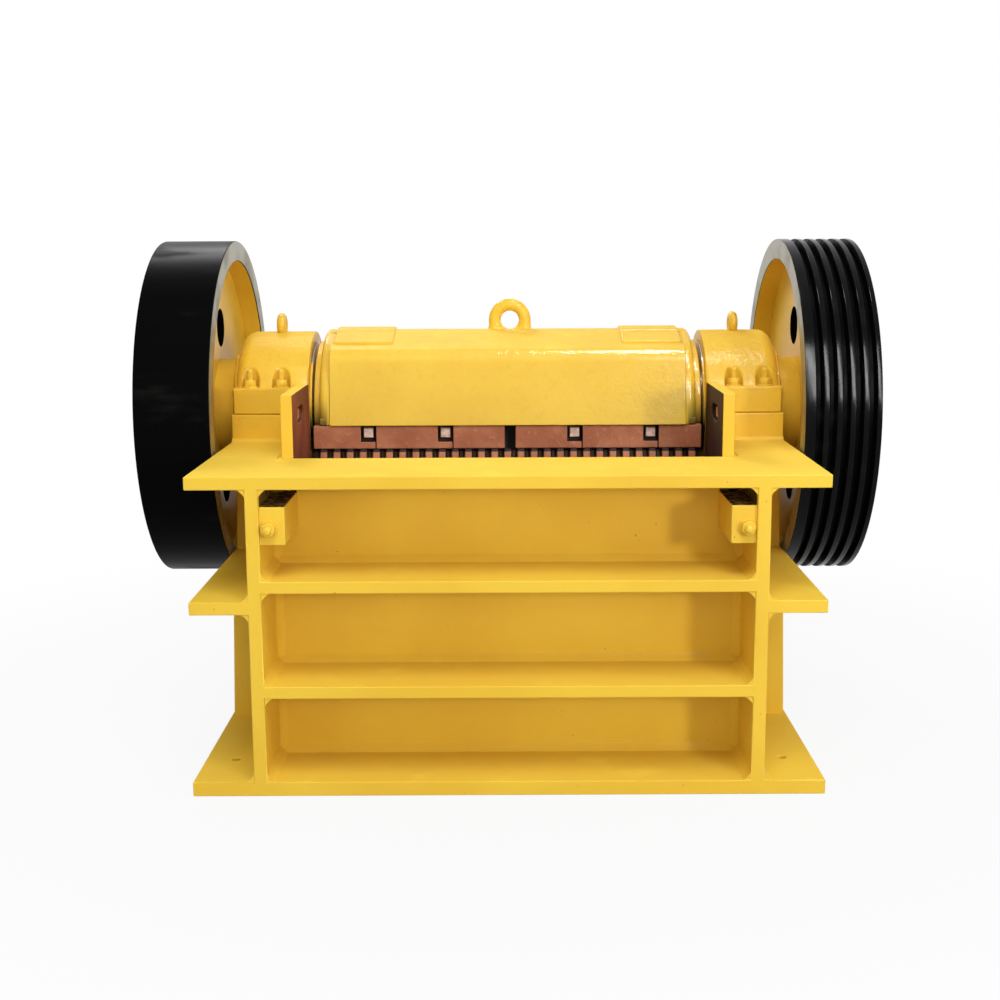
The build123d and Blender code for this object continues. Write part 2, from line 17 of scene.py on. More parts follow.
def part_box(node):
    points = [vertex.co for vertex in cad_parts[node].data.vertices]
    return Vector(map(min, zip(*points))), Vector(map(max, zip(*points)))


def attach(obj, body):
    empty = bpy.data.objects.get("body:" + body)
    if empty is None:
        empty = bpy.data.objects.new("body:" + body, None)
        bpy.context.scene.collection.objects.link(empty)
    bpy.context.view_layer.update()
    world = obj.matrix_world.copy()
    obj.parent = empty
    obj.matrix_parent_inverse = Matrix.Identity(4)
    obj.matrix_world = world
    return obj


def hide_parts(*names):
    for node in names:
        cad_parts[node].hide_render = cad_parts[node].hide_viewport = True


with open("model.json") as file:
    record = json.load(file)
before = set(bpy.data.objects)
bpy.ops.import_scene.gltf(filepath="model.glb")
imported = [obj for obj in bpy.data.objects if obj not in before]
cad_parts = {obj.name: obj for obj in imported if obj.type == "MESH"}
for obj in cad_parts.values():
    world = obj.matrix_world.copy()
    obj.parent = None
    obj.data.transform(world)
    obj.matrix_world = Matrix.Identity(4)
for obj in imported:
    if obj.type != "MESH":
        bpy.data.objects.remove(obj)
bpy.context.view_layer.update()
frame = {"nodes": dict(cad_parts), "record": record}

# %% [markdown]
# ## Where the viewer stands
# The machine is seen from its feed side by a person a few steps away, a little above the shaft.
# The camera could be aimed with a constraint, but a plain matrix keeps the small tilt and roll
# readable.

# %% Camera
IMAGE_PIXELS = 1000
FOCAL_PIXELS = 1450
SENSOR_WIDTH = 36.0
EYE_HEIGHT = 1.4565
EYE_DISTANCE = 3.695
LOOK_DOWN = math.radians(10)
ROLL = math.radians(-0.25)

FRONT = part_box("front_base_plate")[0].y
camera_lens = bpy.data.cameras.new("front_lens")
camera_lens.sensor_width = SENSOR_WIDTH
camera_lens.lens = SENSOR_WIDTH * FOCAL_PIXELS / IMAGE_PIXELS
camera_lens.shift_x = -0.008
camera = bpy.data.objects.new("front_camera", camera_lens)
camera.matrix_world = (Matrix.Translation((0, FRONT - EYE_DISTANCE, EYE_HEIGHT))
                       @ Matrix.Rotation(math.pi / 2 - LOOK_DOWN, 4, "X")
                       @ Matrix.Rotation(ROLL, 4, "Z"))
bpy.context.collection.objects.link(camera)
bpy.context.scene.camera = camera
bpy.context.scene.view_settings.view_transform = "Standard"
print("camera lens", round(camera_lens.lens, 1), "mm")

# %% [markdown]
# ## Sockets that can be added and multiplied
# A finish is a tree of shader nodes. Wiring it by hand hides the sums behind node names, so one
# small class wraps a socket and lets Python's own signs add the Math nodes.

# %% Sockets as values
class Wire:
    """A socket of a shader tree that can stand in a sum."""

    def __init__(self, tree, socket=None):
        self.tree = tree
        self.socket = socket

    def plug(self, value, socket):
        """Links a wire to a socket, or sets a plain value on it."""
        if isinstance(value, Wire):
            self.tree.links.new(value.socket, socket)
        else:
            socket.default_value = value

    def node(self, kind, settings=None, sockets=None, out=0):
        """Adds a node: its settings first, then its sockets. Gives one of its outputs."""
        made = self.tree.nodes.new("ShaderNode" + kind)
        for name, value in (settings or {}).items():
            setattr(made, name, value)
        for key, value in (sockets or {}).items():
            self.plug(value, made.inputs[key])
        return Wire(self.tree, None if out is None else made.outputs[out])

    def math(self, operation, first, second=0.0):
        return self.node("Math", {"operation": operation}, {0: first, 1: second})

    def __add__(self, other):
        return self.math("ADD", self, other)

    def __radd__(self, other):
        return self.math("ADD", other, self)

    def __sub__(self, other):
        return self.math("SUBTRACT", self, other)

    def __rsub__(self, other):
        return self.math("SUBTRACT", other, self)

    def __mul__(self, other):
        return self.math("MULTIPLY", self, other)

    def __rmul__(self, other):
        return self.math("MULTIPLY", other, self)

    def __pow__(self, other):
        return self.math("POWER", self, other)

    def __abs__(self):
        return self.math("ABSOLUTE", self)

    def between(self, low, high):
        """0 below low, 1 above high, and a smooth rise from one to the other."""
        return self.node("MapRange", {"interpolation_type": "SMOOTHSTEP"},
                         {"Value": self, "From Min": low, "From Max": high})

    def within(self, low, high, rise, fall):
        """1 from low to high, with a soft rise above low and a soft fall above high."""
        return self.between(low, low + rise) * (1 - self.between(high, high + fall))

    def blend(self, first, second):
        """The first colour where this value is 0, the second where it is 1."""
        return self.node("Mix", {"data_type": "RGBA"}, {0: self, 6: first, 7: second}, 2)

    def axis(self, number):
        """One of a vector's three numbers."""
        return self.node("SeparateXYZ", None, {0: self}, number)

    def stretched(self, x, y, z):
        """This vector, scaled along each axis."""
        return self.node("VectorMath", {"operation": "MULTIPLY"}, {0: self, 1: (x, y, z)})


print("wires can be added, subtracted, multiplied and raised to a power")

# %% [markdown]
# ## Noise, bump and a finish
# Paint, primer and bare metal all vary from place to place. Pictures of paint would need an
# unwrapped mesh, so each finish uses noise in the machine's own metres. Every finish is then one
# recipe: what varies over the surface, and plain numbers for the rest.

# %% Helpers for finishes
def grain(place, size, detail=2.0):
    """Noise whose lumps are about as large as size."""
    return place.node("TexNoise", None, {"Vector": place, "Scale": 1 / size, "Detail": detail})


def relief(height, depth, strength=1.0):
    """A bump normal from a height between 0 and 1 that is depth metres high."""
    return height.node("Bump", None, {"Strength": strength, "Distance": depth, "Height": height})


def colour(red, green, blue):
    return (red, green, blue, 1.0)


def finish(name, recipe, steady):
    """Makes a material from a recipe for its varying sockets and steady values for the others."""
    material = bpy.data.materials.new(name)
    material.use_nodes = True
    tree = material.node_tree
    surface = tree.nodes["Principled BSDF"]
    start = Wire(tree)
    place = start.node("TexCoord", None, None, "Object")
    for key, value in {**steady, **recipe(place)}.items():
        start.plug(value, surface.inputs[key])
    return material


print("helpers ready")

# %% [markdown]
# ## Yellow enamel
# The frame is rolled plate under thick gloss enamel. The coat is darker and more orange where it
# is thin, and it pulls into a fine skin. What faces up is paler: partly dust, partly painted light
# on the tops. A near-black patch of painted shade sits in the deep corner above each bolt block.
# A noise of a few decimetres gives the thick and thin places, and a much finer one gives the skin.

# %% Enamel on plate
YELLOW_BRIGHT = colour(0.77, 0.505, 0.047)
YELLOW_DEEP = colour(0.72, 0.445, 0.038)
YELLOW_DUST_AND_TOP_LIGHT = colour(0.83, 0.60, 0.066)
CORNER_SHADE_BLACK = colour(0.030, 0.009, 0.004)
CHIP_ORANGE = colour(0.42, 0.17, 0.03)
BLOCK_LOW, BLOCK_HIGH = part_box("right_bolt_block")
CORNER_TOP = 0.834


def painted_corner_shade(place):
    """1 in the deep corner above a bolt block, under the flange, where a near-black patch is painted
    shade.
    """
    across = abs(place.axis(0)).within(BLOCK_LOW.x, BLOCK_HIGH.x, 0.004, 0.001)
    above = place.axis(2).within(BLOCK_HIGH.z - 0.0025, CORNER_TOP, 0.0015, 0.002)
    behind = place.axis(1).within(BLOCK_LOW.y + 0.001, BLOCK_HIGH.y, 0.005, 0.001)
    return across * above * behind


def plate_enamel(place):
    cloud = grain(place, 0.45, 4.0)
    fleck = grain(place, 0.012, 3.0)
    skin = grain(place, 0.0045)
    rolled = grain(place, 0.09, 3.0)
    upward = place.node("NewGeometry", None, None, "Normal").axis(2).between(0.6, 0.95)
    # Upward faces turn paler: dust, and painted light on the tops.
    dust_and_top_light = upward * (0.35 + 0.4 * grain(place, 0.11, 5.0).between(0.55, 0.75))
    coat = cloud.between(0.35, 0.68).blend(YELLOW_DEEP, YELLOW_BRIGHT)
    chips = fleck.between(0.71, 0.74) * rolled.between(0.56, 0.62)
    worn = chips.blend(coat, CHIP_ORANGE)
    # A near-black patch of painted shade in the corner above each bolt block, under the flange.
    bare_and_shade = painted_corner_shade(place) * (0.75 + 0.25 * grain(place, 0.02, 3.0).between(0.4, 0.6))
    return {"Base Color": bare_and_shade.blend(dust_and_top_light.blend(worn, YELLOW_DUST_AND_TOP_LIGHT), CORNER_SHADE_BLACK),
            "Roughness": 0.30 + 0.16 * rolled + 0.48 * upward,
            "Normal": relief(0.65 * rolled + 0.35 * skin, 0.0016, 0.5)}


enamel = finish("yellow_plate_enamel", plate_enamel,
                {"Specular IOR Level": 0.14, "Coat Weight": 0.02, "Coat Roughness": 0.12})
print("made", enamel.name)

# %% [markdown]
# ## Enamel on castings
# The swing jaw, the bearing housings and the wheels are sand castings under the same enamel. The
# sand's rough skin shows through, and most of all where the paint sags over a bend it breaks the
# highlights into sparkles. A real displacement would need millions of faces, so a bump of two
# sizes does it. Where the jaw faces the chamber, and low at its ends, black is painted as shade.

# %% Enamel on castings
RUN_ORANGE = colour(0.66, 0.29, 0.010)
CHAMBER_SHADE_BLACK = colour(0.006, 0.004, 0.003)


def casting_enamel(place):
    cloud = grain(place, 0.35, 4.0)
    lumps = grain(place, 0.022, 2.0)
    sand = grain(place, 0.007, 2.0)
    rise = place.node("NewGeometry", None, None, "Normal").axis(2)
    bend = rise.within(0.32, 0.93, 0.16, 0.06)
    dust_and_top_light = rise.between(0.65, 0.95) * grain(place, 0.08, 5.0).between(0.5, 0.75) * 0.4
    coat = cloud.between(0.35, 0.68).blend(YELLOW_DEEP, YELLOW_BRIGHT)
    runs = (1 - lumps).between(0.56, 0.72) * 0.15
    shaded = runs.blend(coat, RUN_ORANGE)
    return {"Base Color": dust_and_top_light.blend(shaded, YELLOW_DUST_AND_TOP_LIGHT),
            "Roughness": 0.27 + 0.10 * cloud + 0.50 * rise.between(0.80, 0.97),
            "Normal": relief((0.7 * lumps + 0.3 * sand) * (0.35 + 0.65 * bend), 0.0060, 0.5)}


def jaw_enamel(place):
    """The same enamel, with black painted shade where the jaw faces the chamber and low at its ends."""
    recipe = casting_enamel(place)
    level = place.axis(2)
    beside = abs(place.axis(0))
    seat = level.within(0.80, 0.906, 0.03, 0.009)
    ends = beside.within(0.542, 0.615, 0.010, 0.005) * (1 - level.between(0.890, 1.010))
    chamber_side = 1 - place.axis(1).between(0.020, 0.050)
    # Black painted shade behind the clamp bars and low at the jaw's ends, on the chamber side.
    stain_and_shade = place.math("MAXIMUM", seat, ends * level.between(0.80, 0.83)) * chamber_side
    recipe["Base Color"] = stain_and_shade.blend(recipe["Base Color"], CHAMBER_SHADE_BLACK)
    recipe["Roughness"] = recipe["Roughness"] - 0.13 + 0.5 * stain_and_shade
    return recipe


casting = finish("yellow_casting_enamel", casting_enamel,
                 {"Specular IOR Level": 0.14, "Coat Weight": 0.03, "Coat Roughness": 0.10})
jaw_paint = finish("yellow_jaw_enamel", jaw_enamel,
                   {"Specular IOR Level": 0.28, "Coat Weight": 0.04, "Coat Roughness": 0.08})
print("made", casting.name, jaw_paint.name)

# %% [markdown]
# ## Black rims
# The rims of both wheels are turned and then sprayed gloss black. Hands and slings leave dull
# smears, and dust dries in streaks across the width. Noise stretched along the shaft gives those.
# The lands between the belt grooves are rubbed smooth and mirror the lamps.

# %% Gloss black
RIM_BLACK = colour(0.0016, 0.0016, 0.0018)
RIM_DIRT = colour(0.018, 0.017, 0.015)
LAND_DIRT = colour(0.004, 0.004, 0.004)


def rim_black(place):
    turned = grain(place.stretched(1.0, 0.12, 0.12), 0.006, 2.0)
    smear = grain(place.stretched(0.3, 1.0, 1.0), 0.09, 5.0)
    spots = grain(place, 0.016, 3.0).between(0.70, 0.76) * grain(place, 0.22, 2.0).between(0.5, 0.62)
    dirt = smear.between(0.58, 0.76) * 0.4 + 0.6 * spots
    return {"Base Color": dirt.blend(RIM_BLACK, RIM_DIRT),
            "Roughness": 0.30 + 0.28 * smear.between(0.45, 0.75) + 0.2 * spots,
            "Normal": relief(0.6 * smear + 0.4 * turned, 0.0010, 0.4)}


def land_wear(place):
    turned = grain(place.stretched(1.0, 0.12, 0.12), 0.006, 2.0)
    smear = grain(place, 0.07, 4.0)
    return {"Base Color": smear.between(0.5, 0.8).blend(RIM_BLACK, LAND_DIRT),
            "Roughness": 0.10 + 0.12 * smear,
            "Normal": relief(turned, 0.0003, 0.3)}


gloss_black = finish("gloss_black_rim", rim_black, {"Specular IOR Level": 0.014})
worn_land = finish("worn_black_land", land_wear, {"Specular IOR Level": 0.07})
print("made", gloss_black.name, worn_land.name)

# %% [markdown]
# ## Turned steel
# The side faces of the rims, the shaft and the bearing covers are bare, fresh from the lathe. The
# tool leaves rings round the shaft, so the bump is a wave of the distance from the shaft's axis.

# %% Turned steel
shaft_low, shaft_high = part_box("eccentric_shaft")
SHAFT = Vector((0, (shaft_low.y + shaft_high.y) / 2, 0.950))


def lathe_rings(place, pitch):
    """A wave of the distance from the shaft's axis."""
    along = place.axis(1) - SHAFT.y
    above = place.axis(2) - SHAFT.z
    reach = (along * along + above * above) ** 0.5
    return place.math("SINE", reach * (2 * math.pi / pitch)) * 0.5 + 0.5


def turned_metal(place):
    rings = lathe_rings(place, 0.0030)
    stain_and_shade = grain(place, 0.10, 5.0).between(0.42, 0.72)
    rust = grain(place, 0.020, 4.0).between(0.64, 0.78) * stain_and_shade
    bare_and_shade = stain_and_shade.blend(colour(0.30, 0.28, 0.21), colour(0.21, 0.19, 0.14))
    return {"Base Color": rust.blend(bare_and_shade, colour(0.20, 0.10, 0.045)),
            "Roughness": 0.34 + 0.14 * stain_and_shade + 0.25 * rust,
            "Metallic": 0.85 - 0.6 * rust,
            "Normal": relief(rings, 0.0003, 0.5)}


turned_steel = finish("turned_steel", turned_metal, {"Specular IOR Level": 0.5})
print("made", turned_steel.name)

# %% [markdown]
# ## Red primer, pale bolts and oiled steel
# Wear plates are cast manganese steel, brushed with iron-red primer. A darker copy of the primer
# is painted shade for faces down in the chamber, and a near-black copy is painted shade where the
# shade is deepest. The bolts are bare and catch pale dust. What works behind the jaw is dark,
# oiled forging. One recipe with three colours makes every primer, so that brush marks and pits
# stay the same size on all of them.

# %% Primer, bolts and forgings
def brushed_primer(place, thin, thick, dust_and_top_light):
    """Primer that is thin and thick in clouds, with dust in the casting's pits."""
    cloud = grain(place, 0.12, 5.0)
    sand = grain(place, 0.009, 3.0)
    pits = grain(place, 0.014, 4.0)
    brushed = cloud.between(0.36, 0.66).blend(thin, thick)
    return {"Base Color": (pits.between(0.56, 0.72) * 0.40).blend(brushed, dust_and_top_light),
            "Roughness": 0.52 + 0.25 * cloud,
            "Normal": relief(0.6 * pits + 0.4 * sand, 0.0030, 0.6)}


def red_primer(place):
    return brushed_primer(place, colour(0.33, 0.100, 0.042), colour(0.46, 0.165, 0.076),
                          colour(0.55, 0.25, 0.15))


def tooth_primer(place):
    """Red tips, black high up where the clamp bars' shadow falls: painted shade."""
    recipe = red_primer(place)
    under_bar_shade = place.axis(2).between(0.8345, 0.8370)
    recipe["Base Color"] = under_bar_shade.blend(recipe["Base Color"], colour(0.012, 0.005, 0.003))
    return recipe


# A darker copy of the red primer: painted shade for faces down in the chamber.
def shaded_red_primer(place):
    return brushed_primer(place, colour(0.15, 0.030, 0.009), colour(0.24, 0.055, 0.018),
                          colour(0.28, 0.080, 0.035))


# A near-black copy: painted shade between the teeth, in the notches and on the right cheek.
def painted_shade_steel(place):
    return brushed_primer(place, colour(0.020, 0.007, 0.004), colour(0.045, 0.014, 0.007),
                          colour(0.070, 0.026, 0.014))


def pale_steel(place):
    dust_and_top_light = grain(place, 0.018, 4.0)
    dusty = dust_and_top_light.between(0.4, 0.66).blend(colour(0.54, 0.33, 0.24), colour(0.76, 0.54, 0.43))
    return {"Base Color": dusty,
            "Roughness": 0.36 + 0.25 * dust_and_top_light,
            "Metallic": 0.15 * dust_and_top_light,
            "Normal": relief(dust_and_top_light, 0.0008, 0.6)}


def oiled_forging(place):
    scale = grain(place, 0.035, 5.0)
    oiled = scale.between(0.38, 0.68).blend(colour(0.035, 0.032, 0.030), colour(0.10, 0.085, 0.07))
    return {"Base Color": oiled,
            "Roughness": 0.30 + 0.35 * scale,
            "Metallic": 0.75 - 0.2 * scale,
            "Normal": relief(scale, 0.0016, 0.6)}


primer = finish("red_primer", red_primer, {"Specular IOR Level": 0.22})
tooth_red = finish("tooth_primer", tooth_primer, {"Specular IOR Level": 0.22})
shade_primer = finish("shaded_red_primer", shaded_red_primer, {"Specular IOR Level": 0.22})
shade_black = finish("black_painted_shade", painted_shade_steel, {"Specular IOR Level": 0.22})
bolt_steel = finish("pale_bolt_steel", pale_steel, {"Specular IOR Level": 0.5})
forging = finish("oiled_forging", oiled_forging, {"Specular IOR Level": 0.5})
print("made", [made.name for made in (primer, tooth_red, shade_primer, shade_black, bolt_steel, forging)])

# %% [markdown]
# ## Floor
# The machine stands in a white studio. A wall behind it would hide it from the rear, so there is
# only a wide floor. The eye, and whatever metal mirrors, sees it as nearly white. A share of the
# matt floor stays under the machine and keeps its shadow, and the share fades out with distance.

# %% Floor
WHITE = colour(1, 1, 1)
FLOOR_GREY = colour(0.42, 0.42, 0.42)
FLOOR_RADIUS = 60.0


def seen_white(start):
    """1 for the eye, and for what metal mirrors or glass lets through."""
    eye, mirror, glass = (start.node("LightPath", None, None, "Is " + kind + " Ray")
                          for kind in ("Camera", "Glossy", "Transmission"))
    return start.math("MAXIMUM", start.math("MAXIMUM", eye, mirror), glass)


def studio_floor():
    form = bmesh.new()
    bmesh.ops.create_circle(form, cap_ends=True, segments=96, radius=FLOOR_RADIUS)
    mesh = bpy.data.meshes.new("studio_floor")
    form.to_mesh(mesh)
    form.free()
    floor = bpy.data.objects.new("studio_floor", mesh)
    bpy.context.collection.objects.link(floor)
    material = bpy.data.materials.new("studio_white")
    material.use_nodes = True
    tree = material.node_tree
    tree.nodes.clear()
    start = Wire(tree)
    seen = seen_white(start)
    matt = start.node("BsdfDiffuse", None, {"Color": FLOOR_GREY})
    white = start.node("Emission", None, {"Color": WHITE, "Strength": 1.0})
    place = start.node("TexCoord", None, None, "Object")
    far = place.node("VectorMath", {"operation": "LENGTH"}, {0: place}, "Value").between(0.9, 3.2)
    near_white = 0.92 + 0.08 * far
    mixed = start.node("MixShader", None, {0: seen * near_white, 1: matt, 2: white})
    start.node("OutputMaterial", None, {"Surface": mixed}, None)
    mesh.materials.append(material)
    return floor


print("floor:", studio_floor().name)

# %% [markdown]
# ## Sky and lamps
# The sky is white to the eye too, while its light on the machine stays soft and low. One small
# key lamp from the right gives the bays their shadow. Broad lamps in front and above even it out;
# mirrored in enamel they would lay a pale veil over it, so screens keep them out of the
# highlights. A strip and a small lamp overhead do the reverse and only make highlights, on the
# pulley's lands and on the jaw's bend. A lamp behind serves the views from there.

# %% Sky and lamps
def studio_sky(horizon_level, zenith_level):
    """White to the eye; its light rises from the horizon to the zenith."""
    world = bpy.data.worlds.new("studio_sky")
    world.use_nodes = True
    tree = world.node_tree
    tree.nodes.clear()
    start = Wire(tree)
    seen = seen_white(start)
    height = start.node("TexCoord", None, None, "Generated").axis(2).between(-0.05, 0.75)
    white = start.node("Background", None, {"Color": WHITE, "Strength": 1.0})
    horizon = start.node("Background", None, {"Color": WHITE, "Strength": horizon_level})
    zenith = start.node("Background", None, {"Color": WHITE, "Strength": zenith_level})
    soft = start.node("MixShader", None, {0: height, 1: horizon, 2: zenith})
    sky = start.node("MixShader", None, {0: seen, 1: soft, 2: white})
    start.node("OutputWorld", None, {"Surface": sky}, None)
    bpy.context.scene.world = world


def soft_lamp(name, place, target, size, power, mirrored=True, lights=True):
    """An area lamp; a screen can keep it out of the highlights, or let only its highlights through."""
    lamp = bpy.data.lights.new(name, "AREA")
    lamp.shape = "RECTANGLE"
    lamp.size = size[0]
    lamp.size_y = size[1]
    lamp.energy = power
    holder = bpy.data.objects.new(name, lamp)
    aim = (Vector(target) - Vector(place)).to_track_quat("-Z", "Y")
    holder.matrix_world = Matrix.Translation(place) @ aim.to_matrix().to_4x4()
    holder.visible_glossy = mirrored
    holder.visible_diffuse = lights
    bpy.context.collection.objects.link(holder)
    return holder


MIDDLE = (0.0, 0.0, 0.75)
studio_sky(0.35, 0.52)
lamps = [soft_lamp("key_lamp", (2.95, -4.8, 1.60), MIDDLE, (0.5, 0.5), 80),
         soft_lamp("front_lamp", (0.0, -5.2, 1.9), MIDDLE, (2.8, 1.8), 36, False),
         soft_lamp("high_lamp", (0.0, -3.4, 5.2), MIDDLE, (3.4, 2.8), 172, False),
         soft_lamp("strip_lamp", (2.1, -5.0, 3.5), MIDDLE, (0.5, 3.6), 360, True, False),
         soft_lamp("fill_lamp", (-3.4, -3.8, 0.35), MIDDLE, (1.8, 0.6), 14, False),
         soft_lamp("side_lamp", (4.2, -1.6, 2.5), MIDDLE, (1.2, 1.0), 30),
         soft_lamp("top_lamp", (0.70, -0.5, 4.0), (0.35, 0.0, 1.1), (0.5, 0.5), 80, True, False),
         soft_lamp("rear_lamp", (-2.0, 3.8, 5.0), MIDDLE, (2.0, 1.6), 140)]
print("lamps:", [lamp.name for lamp in lamps])

# %% [markdown]
# ## Real plate has soft edges
# Cut plate is ground before it is painted, and the paint rounds the edge further. Such an edge
# catches a thin line of light that a sharp one never shows. A shader bevel would not survive an
# export, so each node gets a copy whose edges are bevelled in its mesh. The copy stands for the
# node and rides on the node's own body.

# %% Soft-edged copies of the nodes
BODY_OF = {node: body for body, nodes in frame["record"]["behaviour"]["bodies"].items() for node in nodes}
SLOT_OF = {part["node"]: part["material_slot"] for part in frame["record"]["subparts"]}
SHARP = math.radians(28)


def placed(name, form, body, finishes, stands_for=()):
    """Turns a bmesh into a shaded piece of the machine that rides on a body."""
    mesh = bpy.data.meshes.new(name)
    form.to_mesh(mesh)
    form.free()
    for material in finishes:
        mesh.materials.append(material)
    piece = bpy.data.objects.new(name, mesh)
    bpy.context.collection.objects.link(piece)
    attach(piece, body)
    if stands_for:
        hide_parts(*stands_for)
    return piece


def evened(form):
    """Smooth faces that look outward and break only at true corners."""
    bmesh.ops.recalc_face_normals(form, faces=form.faces)
    for face in form.faces:
        face.smooth = True
    for edge in form.edges:
        if len(edge.link_faces) == 2:
            edge.smooth = edge.calc_face_angle(0.0) < math.radians(50)


def softened(form, edge, rounds):
    """Bevels the outside edges of a bmesh and leaves inside corners sharp."""
    bmesh.ops.remove_doubles(form, verts=form.verts, dist=2e-5)
    bmesh.ops.dissolve_limit(form, angle_limit=math.radians(0.5), verts=form.verts, edges=form.edges)
    sharp = [e for e in form.edges if len(e.link_faces) == 2 and e.calc_face_angle_signed(0.0) > SHARP]
    bmesh.ops.bevel(form, geom=sharp, offset=edge, offset_type="OFFSET", segments=rounds, profile=0.5,
                    affect="EDGES", clamp_overlap=False)


def shaded(piece):
    """Large faces lead the normals, so that planes look flat beside their bevels."""
    normals = piece.modifiers.new("face_normals", "WEIGHTED_NORMAL")
    normals.keep_sharp = True
    return piece


def soft_copy(node, finishes, edge=0.0025, choose=None, cut=None):
    """A copy of a CAD node with bevelled edges; choose(face) picks a face's finish, cut works the mesh."""
    form = bmesh.new()
    form.from_mesh(frame["nodes"][node].data)
    softened(form, edge, 2)
    if cut:
        cut(form)
    if choose:
        for face in form.faces:
            face.material_index = choose(face)
    evened(form)
    return shaded(placed("soft_" + node, form, BODY_OF[node], finishes, (node,)))


print("edges are bevelled above", round(math.degrees(SHARP)), "degrees")

# %% [markdown]
# ## The welded frame
# The frame's plates are welded and painted as one, so no gap shows where two of them meet in one
# plane. Copies of single plates would show every joint as a groove. A Boolean union joins them
# into one skin first, and only then are the outside edges bevelled.

# %% One skin from many plates
PLATE_NODES = [node for node, slot in SLOT_OF.items() if slot == "frame_paint" and "bearing" not in node
               and "eye" not in node]


def union_of(nodes):
    """The union of several CAD nodes as a bmesh, with vertices snapped to a hundredth of a millimetre."""
    others = bpy.data.collections.new("plates_to_join")
    copies = []
    for node in nodes:
        mesh = frame["nodes"][node].data.copy()
        for vertex in mesh.vertices:
            vertex.co = [round(value, 5) for value in vertex.co]
        copies.append(bpy.data.objects.new("join_" + node, mesh))
        bpy.context.collection.objects.link(copies[-1])
    for copy in copies[1:]:
        others.objects.link(copy)
    join = copies[0].modifiers.new("join", "BOOLEAN")
    join.operation = "UNION"
    join.operand_type = "COLLECTION"
    join.collection = others
    join.solver = "EXACT"
    bpy.context.view_layer.update()
    form = bmesh.new()
    form.from_object(copies[0], bpy.context.evaluated_depsgraph_get())
    for copy in copies:
        bpy.data.objects.remove(copy)
    bpy.data.collections.remove(others)
    return form


form = union_of(PLATE_NODES)
softened(form, 0.003, 2)
evened(form)
welded_frame = shaded(placed("welded_frame", form, "frame", [enamel], PLATE_NODES))
print("welded frame:", len(welded_frame.data.polygons), "faces from", len(PLATE_NODES), "nodes")

# %% [markdown]
# ## Castings and wear plates
# Housings and jaw are poured, so their corners are rounder than those of plate. The wear plates
# are cast too. Primer shows on the front and top of the bars and on the tips of the teeth, and
# black painted shade lies between the teeth, in the notches and on the bars' ends. The fixed plate
# takes the darker primer, painted shade for its place deep in the chamber. The primer could be
# masked by position, but a rule for each face keeps its border on a real edge.

# %% Castings and wear plates
housings = [soft_copy(side + piece, [casting], 0.005) for side in ("left_", "right_")
            for piece in ("bearing_seat", "bearing_cap")]
jaw_castings = [soft_copy(node, [jaw_paint], 0.004)
                for node in ("swing_jaw", "left_jaw_cover", "right_jaw_cover")]
BAR_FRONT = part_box("left_clamp_bars")[0].y
BAR_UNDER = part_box("left_clamp_bars")[0].z
PLATE_FACING = Vector((0, -0.954, 0.300))


def bar_faces(face):
    """Primer on the front and the top of a clamp bar, black painted shade in its notches and on its ends.
    """
    centre = face.calc_center_median()
    in_front = face.normal.y < -0.5 and centre.y < BAR_FRONT + 0.004
    on_top = face.normal.z > 0.5 and centre.z > BAR_UNDER + 0.060
    return 0 if in_front or on_top else 1


def tooth_faces(node):
    """Primer on the tips of the teeth, black painted shade between them."""
    tip = max(corner.co.dot(PLATE_FACING) for corner in frame["nodes"][node].data.vertices)

    def rule(face):
        return 0 if face.calc_center_median().dot(PLATE_FACING) > tip - 0.006 else 1
    return rule


# The fixed plate's darker primer and the black between teeth and in notches are painted shade.
wear_plates = [soft_copy("fixed_jaw_plate", [shade_primer], 0.003),
               soft_copy("moving_jaw_plate", [tooth_red, shade_black], 0.003,
                         tooth_faces("moving_jaw_plate")),
               soft_copy("left_clamp_bars", [primer, shade_black], 0.003, bar_faces),
               soft_copy("right_clamp_bars", [primer, shade_black], 0.003, bar_faces)]
print(len(housings), "housings,", len(jaw_castings), "jaw castings,", len(wear_plates), "wear plates")

# %% [markdown]
# ## Pieces with two finishes
# A cheek plate is painted with the frame, and only its chamber face keeps primer, a copy darkened
# as painted shade. A wheel is yellow inside, black round the rim, black as painted shade in the
# holes of its web, and bare where its side faces were turned. Separate meshes would show seams, so
# a small rule gives each face its finish. The right cheek's lining is near black, painted shade for
# the shadow it stands in, and so darker than the left one's.

# %% Cheeks and wheels
CHAMBER_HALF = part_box("right_cheek_plate")[0].x
CHEEK_POCKETS = ((0.490, 0.975), (0.470, 0.600), (0.445, 0.250))


def cheek_faces(face):
    """Primer on the chamber face and in its pockets, yellow on the edges and the back."""
    centre = face.calc_center_median()
    in_pocket = any(abs(centre.y - FRONT - depth) < 0.080 and abs(centre.z - level) < 0.045
                    for depth, level in CHEEK_POCKETS) and abs(centre.x) < CHAMBER_HALF + 0.024
    return 1 if in_pocket or abs(centre.x) < CHAMBER_HALF + 0.001 else 0


RIM_LOW, RIM_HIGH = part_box("flywheel")
WHEEL_RADIUS = (RIM_HIGH.z - RIM_LOW.z) / 2
BORE_RADIUS = WHEEL_RADIUS - 0.061
HOLE_RING = 0.250


